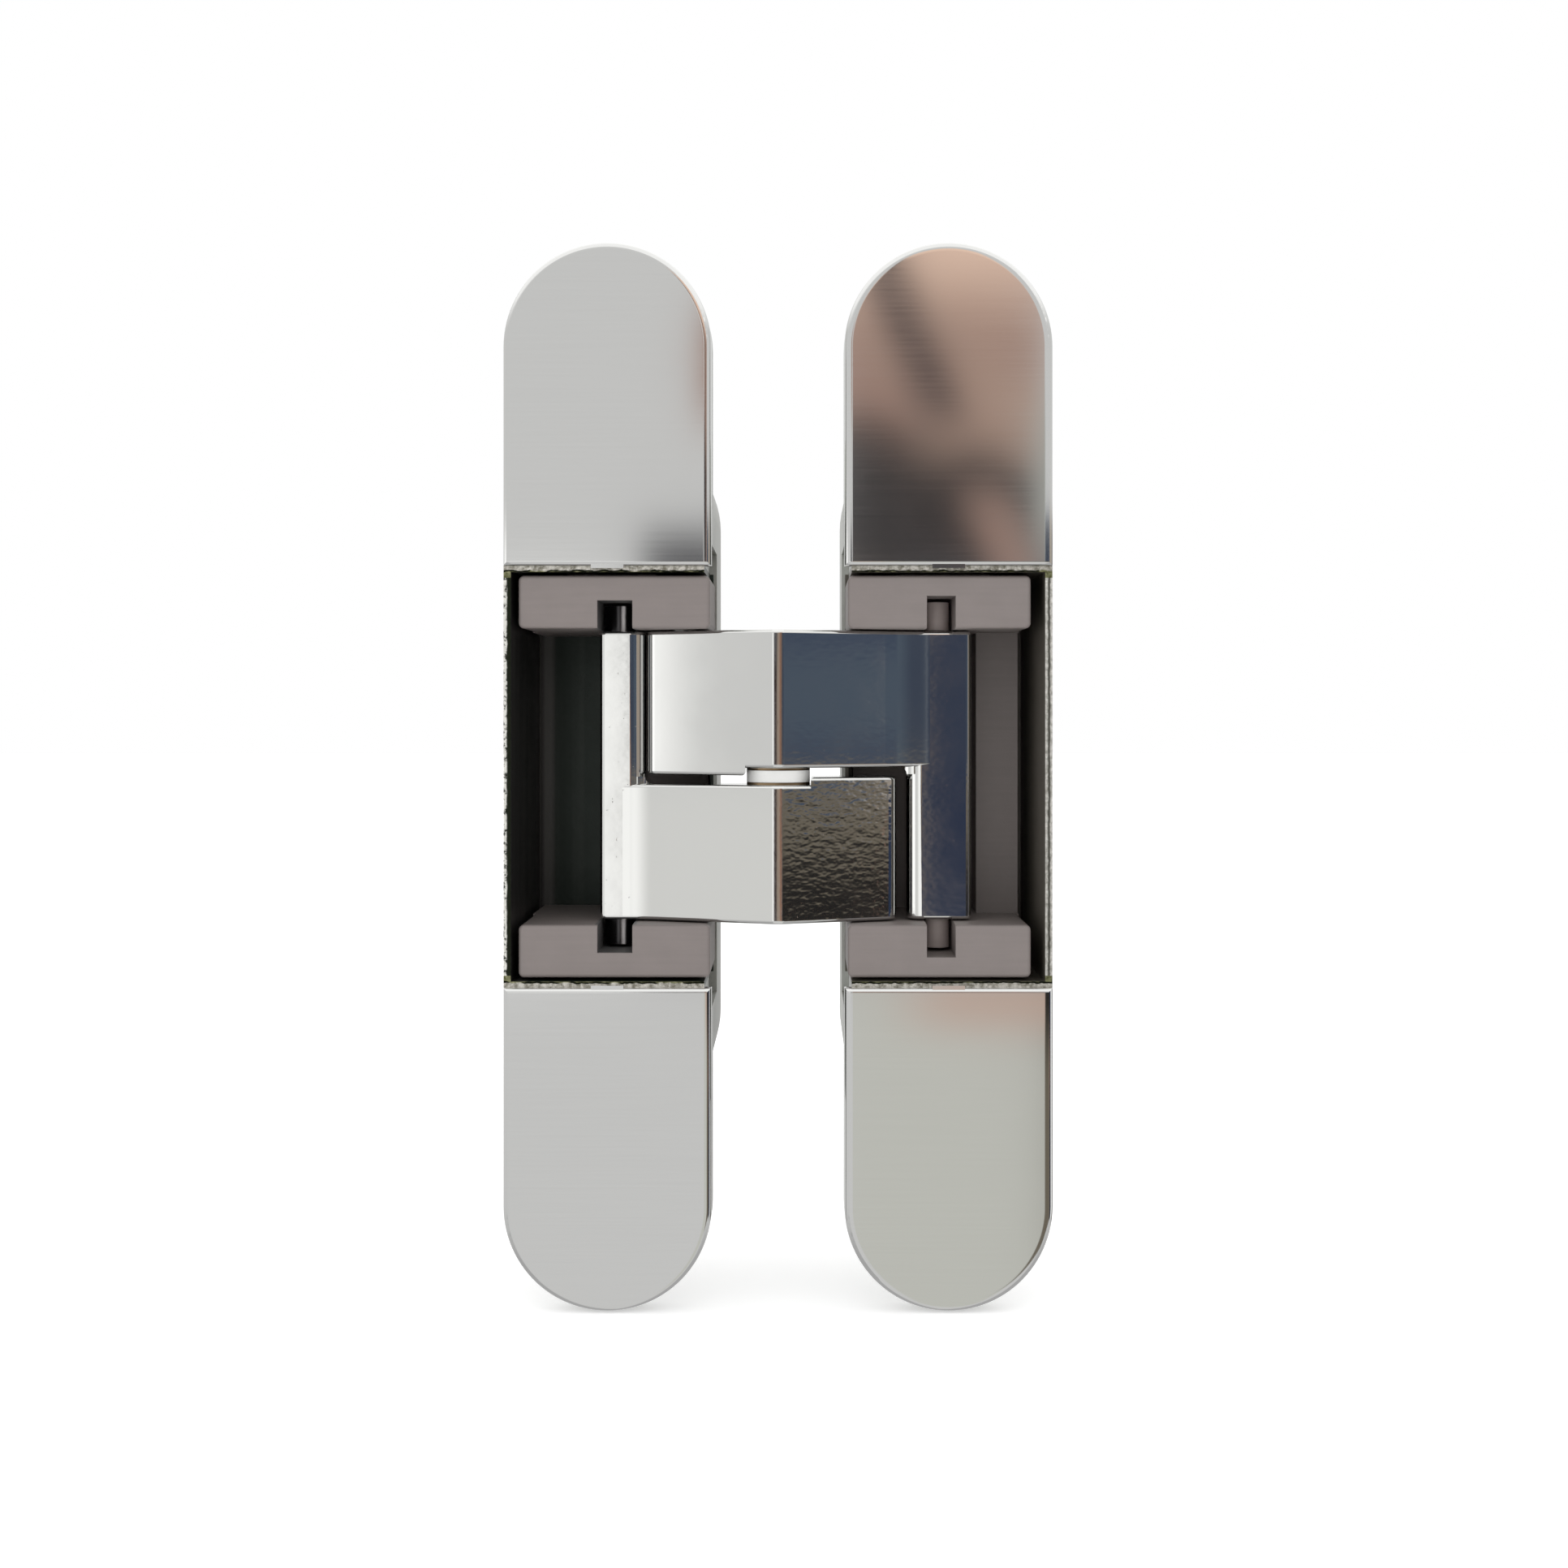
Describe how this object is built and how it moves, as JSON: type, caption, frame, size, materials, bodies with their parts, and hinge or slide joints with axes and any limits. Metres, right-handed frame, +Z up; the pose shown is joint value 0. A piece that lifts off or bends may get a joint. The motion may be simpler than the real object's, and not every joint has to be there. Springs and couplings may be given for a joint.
{
  "type": "concealed invisible door hinge",
  "caption": "Concealed door hinge, opened flat: round-ended chromed leaves with clip-on covers, joined by crossing cast arms on fixed and sliding pins in plastic carriages.",
  "frame": {"origin": "middle of the left leaf's screw holes, on the back face of its flange", "axes": "+X to the right leaf when open, +Y into the door edge behind the leaves, +Z up along the leaves"},
  "size_m": [0.0607, 0.0261, 0.118],
  "materials": {
    "chrome": "polished",
    "cast_metal": "satin",
    "steel": "satin",
    "black_steel": "satin",
    "bearing_bronze": "satin",
    "taupe_plastic": "matte",
    "dark_taupe_plastic": "matte",
    "white_plastic": "satin"
  },
  "bodies": {
    "left_housing": {"left_housing": "cast_metal", "left_upper_cover": "chrome", "left_lower_cover": "chrome"},
    "left_carriage": {"left_carriage": "taupe_plastic", "left_fixed_pin": "steel"},
    "left_upper_adjuster": {"left_upper_adjuster": "steel"},
    "left_lower_adjuster": {"left_lower_adjuster": "steel"},
    "upper_arm": {"upper_arm": "chrome", "left_pivot_bush": "bearing_bronze", "upper_centre_bush": "bearing_bronze", "centre_pin": "steel", "centre_washer": "white_plastic", "right_slide_pin": "black_steel", "right_upper_sleeve": "dark_taupe_plastic", "right_lower_sleeve": "dark_taupe_plastic"},
    "lower_arm": {"lower_arm": "chrome", "right_pivot_bush": "bearing_bronze", "lower_centre_bush": "bearing_bronze", "left_slide_pin": "black_steel"},
    "right_carriage": {"right_carriage": "taupe_plastic", "right_fixed_pin": "steel"},
    "right_housing": {"right_housing": "cast_metal", "right_upper_cover": "chrome", "right_lower_cover": "chrome"},
    "right_upper_adjuster": {"right_upper_adjuster": "steel"},
    "right_lower_adjuster": {"right_lower_adjuster": "steel"}
  },
  "joints": [
    {"name": "left_side_adjust", "type": "slide", "parent": "left_housing", "child": "left_carriage", "axis": [1, 0, 0], "range_m": [-0.0005, 0.0002]},
    {"name": "left_upper_adjuster_turn", "type": "hinge", "parent": "left_housing", "child": "left_upper_adjuster", "pos_m": [-0.00015, 0.0011, 0.0296], "axis": [0, 1, 0], "range_deg": [-57.15, 22.87]},
    {"name": "left_lower_adjuster_turn", "type": "hinge", "parent": "left_housing", "child": "left_lower_adjuster", "pos_m": [-0.00015, 0.0011, -0.0296], "axis": [0, -1, 0], "range_deg": [-57.15, 22.87]},
    {"name": "swing", "type": "hinge", "parent": "left_carriage", "child": "upper_arm", "pos_m": [0.008, 0.0031, 0], "axis": [0, 0, -1], "range_deg": [0, 104.02]},
    {"name": "arm_crossing", "type": "hinge", "parent": "upper_arm", "child": "lower_arm", "pos_m": [0.01885, 0.0001, 0], "axis": [0, 0, -1], "range_deg": [-28.05, 0.01]},
    {"name": "right_leaf_swing", "type": "hinge", "parent": "lower_arm", "child": "right_carriage", "pos_m": [0.0297, 0.0031, 0], "axis": [0, 0, -1], "range_deg": [-0.01, 104.03]},
    {"name": "right_side_adjust", "type": "slide", "parent": "right_carriage", "child": "right_housing", "axis": [1, 0, 0], "range_m": [-0.0012, 0.0004]},
    {"name": "right_upper_adjuster_turn", "type": "hinge", "parent": "right_housing", "child": "right_upper_adjuster", "pos_m": [0.0381, 0.0011, 0.0296], "axis": [0, -1, 0], "range_deg": [-60.01, 20.01]},
    {"name": "right_lower_adjuster_turn", "type": "hinge", "parent": "right_housing", "child": "right_lower_adjuster", "pos_m": [0.0381, 0.0011, -0.0296], "axis": [0, 1, 0], "range_deg": [-60.01, 20.01]}
  ],
  "couplings": [
    {"joint": "arm_crossing", "follows": "swing", "ratio": -0.26957},
    {"joint": "right_leaf_swing", "follows": "swing", "ratio": 1},
    {"joint": "left_upper_adjuster_turn", "follows": "left_side_adjust", "rad_per_m": 1994.7},
    {"joint": "left_lower_adjuster_turn", "follows": "left_side_adjust", "rad_per_m": 1994.7},
    {"joint": "right_upper_adjuster_turn", "follows": "right_side_adjust", "rad_per_m": 872.66},
    {"joint": "right_lower_adjuster_turn", "follows": "right_side_adjust", "rad_per_m": 872.66}
  ]
}
